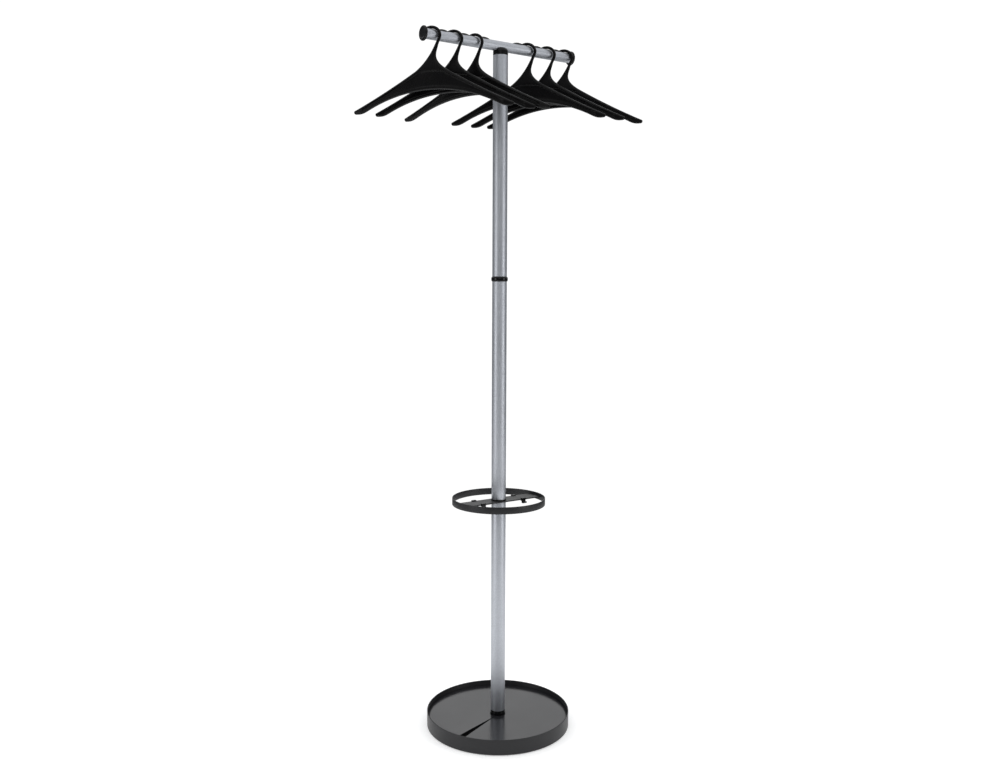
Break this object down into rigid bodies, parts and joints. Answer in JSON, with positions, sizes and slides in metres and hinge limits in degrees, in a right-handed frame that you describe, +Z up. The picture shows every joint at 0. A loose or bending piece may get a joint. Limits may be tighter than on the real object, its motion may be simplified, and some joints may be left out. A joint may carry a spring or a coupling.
{
  "type": "standing coat rack",
  "caption": "Free-standing coat rack: round tray base, three-tube post, umbrella ring, and a crossbar with swinging hangers.",
  "frame": {"origin": "on the floor, under the post's axis", "axes": "+Z up along the post, +X along the crossbar"},
  "size_m": [0.675, 0.3808, 1.7955],
  "materials": {
    "base_paint": "dark grey powder coat on spun steel, satin",
    "ballast_iron": "raw cast iron",
    "mat_rubber": "dark grey soft vinyl sheet, semi-gloss",
    "pad_rubber": "moulded rubber",
    "silver_tube": "satin metallic silver powder coat on steel tube",
    "ring_steel": "dark grey powder coat on flat steel",
    "black_plastic": "glossy black injection-moulded plastic",
    "hanger_plastic": "semi-gloss black injection-moulded plastic",
    "zinc_steel": "zinc-plated steel"
  },
  "bodies": {
    "root": {"bar_nut": "zinc_steel", "bar_stud": "zinc_steel", "base_bolt": "zinc_steel", "base_pan": "base_paint", "base_washer": "zinc_steel", "base_weight": "ballast_iron", "crossbar": "silver_tube", "foot_collar": "black_plastic", "foot_ring": "pad_rubber", "joint_collar": "black_plastic", "joint_stud": "zinc_steel", "left_end_cap": "black_plastic", "lower_tube": "silver_tube", "lower_tube_foot_plug": "zinc_steel", "lower_tube_top_plug": "zinc_steel", "middle_tube": "silver_tube", "middle_tube_foot_plug": "zinc_steel", "middle_tube_top_plug": "zinc_steel", "plate_collar": "black_plastic", "right_end_cap": "black_plastic", "ring_stud": "zinc_steel", "saddle_cap": "black_plastic", "spacer_1": "black_plastic", "spacer_2": "black_plastic", "spacer_3": "black_plastic", "spacer_4": "black_plastic", "spacer_5": "black_plastic", "spacer_6": "black_plastic", "umbrella_band": "ring_steel", "umbrella_hooks": "black_plastic", "umbrella_plate": "ring_steel", "upper_tube": "silver_tube", "upper_tube_foot_plug": "zinc_steel", "upper_tube_top_plug": "zinc_steel"},
    "mat": {"drip_mat": "mat_rubber"},
    "hanger_1": {"hanger_1": "hanger_plastic"},
    "hanger_2": {"hanger_2": "hanger_plastic"},
    "hanger_3": {"hanger_3": "hanger_plastic"},
    "hanger_4": {"hanger_4": "hanger_plastic"},
    "hanger_5": {"hanger_5": "hanger_plastic"},
    "hanger_6": {"hanger_6": "hanger_plastic"}
  },
  "joints": [
    {"name": "mat_lift", "type": "slide", "parent": "root", "child": "mat", "axis": [0, 0, 1], "range_m": [0, 0.06]},
    {"name": "hanger_1_swing", "type": "hinge", "parent": "root", "child": "hanger_1", "pos_m": [-0.2025, 0, 1.7748], "axis": [1, 0, 0], "range_deg": [-12, 12]},
    {"name": "hanger_2_swing", "type": "hinge", "parent": "root", "child": "hanger_2", "pos_m": [-0.1405, 0, 1.7748], "axis": [1, 0, 0], "range_deg": [-12, 12]},
    {"name": "hanger_3_swing", "type": "hinge", "parent": "root", "child": "hanger_3", "pos_m": [-0.0795, 0, 1.7748], "axis": [1, 0, 0], "range_deg": [-12, 12]},
    {"name": "hanger_4_swing", "type": "hinge", "parent": "root", "child": "hanger_4", "pos_m": [0.08, 0, 1.7748], "axis": [1, 0, 0], "range_deg": [-12, 12]},
    {"name": "hanger_5_swing", "type": "hinge", "parent": "root", "child": "hanger_5", "pos_m": [0.1425, 0, 1.7748], "axis": [1, 0, 0], "range_deg": [-12, 12]},
    {"name": "hanger_6_swing", "type": "hinge", "parent": "root", "child": "hanger_6", "pos_m": [0.2, 0, 1.7748], "axis": [1, 0, 0], "range_deg": [-12, 12]}
  ]
}
